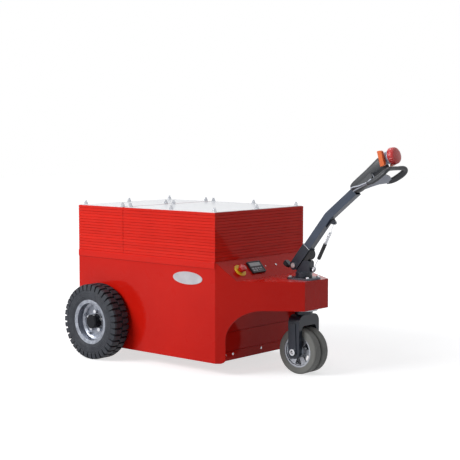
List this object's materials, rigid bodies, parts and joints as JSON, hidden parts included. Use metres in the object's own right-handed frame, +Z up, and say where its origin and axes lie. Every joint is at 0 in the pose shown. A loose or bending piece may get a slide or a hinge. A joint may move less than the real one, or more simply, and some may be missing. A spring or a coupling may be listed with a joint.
{
  "type": "electric tow tug",
  "caption": "Walk-behind electric tow tug: ballasted sheet-steel box on driven wheels, with a steered twin wheel under a tapered nose, a sprung tiller and a rear tow jaw.",
  "frame": {"origin": "on the floor, in the middle of the footprint", "axes": "+X forward towards the tiller, +Y to the tug's left, +Z up"},
  "size_m": [1.9534, 0.944, 1.133],
  "materials": {
    "battery": "matte",
    "black_plastic": "grained",
    "black_rubber": "matte",
    "black_tyre": "matte",
    "button_red": "gloss",
    "cast_alloy": "cast",
    "dark_red": "satin",
    "galvanised": "bright galvanised",
    "grey_plastic": "matte",
    "grey_rubber": "matte",
    "hub_black": "satin",
    "machined_steel": "satin",
    "orange_plastic": "gloss",
    "pale_sheet": "satin",
    "plate_red": "satin",
    "red_paint": "satin",
    "slate_paint": "satin",
    "yellow_plastic": "gloss",
    "zinc": "bright"
  },
  "bodies": {
    "chassis": {"floor_pan": "dark_red", "battery_cover": "dark_red", "front_wall": "dark_red", "rear_wall": "red_paint", "side_panel_right": "red_paint", "side_panel_left": "red_paint", "lid": "red_paint", "nose_cover": "red_paint", "nose_floor": "red_paint", "steering_housing": "machined_steel", "deck_plate": "machined_steel", "battery_block": "battery", "drive_axle": "machined_steel", "ballast_plates_rear": "plate_red", "ballast_plates_front": "plate_red", "top_sheets": "pale_sheet", "ballast_studs": "zinc", "tow_bracket": "machined_steel", "tow_jaw": "machined_steel", "stop_collar": "yellow_plastic", "stop_button": "button_red", "console_gauge": "black_plastic"},
    "wheel_right": {"tyre_right": "black_tyre", "rim_right": "galvanised", "hub_right": "hub_black", "wheel_nuts_right": "zinc"},
    "wheel_left": {"tyre_left": "black_tyre", "rim_left": "galvanised", "hub_left": "hub_black", "wheel_nuts_left": "zinc"},
    "caster": {"caster_tyres": "grey_rubber", "caster_rims": "cast_alloy"},
    "steer_head": {"fork": "slate_paint", "fork_axle": "zinc", "steering_post": "slate_paint"},
    "tiller": {"tiller_bracket": "slate_paint", "tiller_tube": "slate_paint", "pivot_bolt": "zinc", "front_stop": "black_rubber", "rear_stop": "black_rubber", "spring_hook": "slate_paint", "head_pod": "black_plastic", "head_nose": "grey_plastic", "head_shell": "grey_plastic", "head_grips": "black_plastic", "reverse_button": "button_red", "throttle": "orange_plastic"},
    "spring_lower": {"spring_sleeve": "black_rubber"},
    "spring_upper": {"spring_coil": "zinc"}
  },
  "joints": [
    {"name": "wheel_right_spin", "type": "hinge", "parent": "chassis", "child": "wheel_right", "pos_m": [-0.6367, -0.4195, 0.2], "axis": [0, 1, 0], "continuous": true},
    {"name": "wheel_left_spin", "type": "hinge", "parent": "chassis", "child": "wheel_left", "pos_m": [-0.6367, 0.4195, 0.2], "axis": [0, 1, 0], "continuous": true},
    {"name": "steer", "type": "hinge", "parent": "chassis", "child": "steer_head", "pos_m": [0.4283, 0, 0.115], "axis": [0, 0, 1], "range_deg": [-90, 90]},
    {"name": "caster_spin", "type": "hinge", "parent": "steer_head", "child": "caster", "pos_m": [0.4283, 0, 0.115], "axis": [0, 1, 0], "continuous": true},
    {"name": "tiller_tilt", "type": "hinge", "parent": "steer_head", "child": "tiller", "pos_m": [0.3823, 0, 0.54], "axis": [0, -1, 0], "range_deg": [0, 38]},
    {"name": "spring_swing", "type": "hinge", "parent": "steer_head", "child": "spring_lower", "pos_m": [0.4883, 0, 0.521], "axis": [0, -1, 0], "range_deg": [0, 38.9]},
    {"name": "spring_stretch", "type": "slide", "parent": "spring_lower", "child": "spring_upper", "axis": [0.462, 0, 0.8869], "range_m": [0, 0.0706]}
  ],
  "couplings": [
    {"joint": "spring_swing", "follows": "tiller_tilt", "ratio": 1.0095},
    {"joint": "spring_stretch", "follows": "tiller_tilt", "m_per_rad": 0.10569}
  ]
}
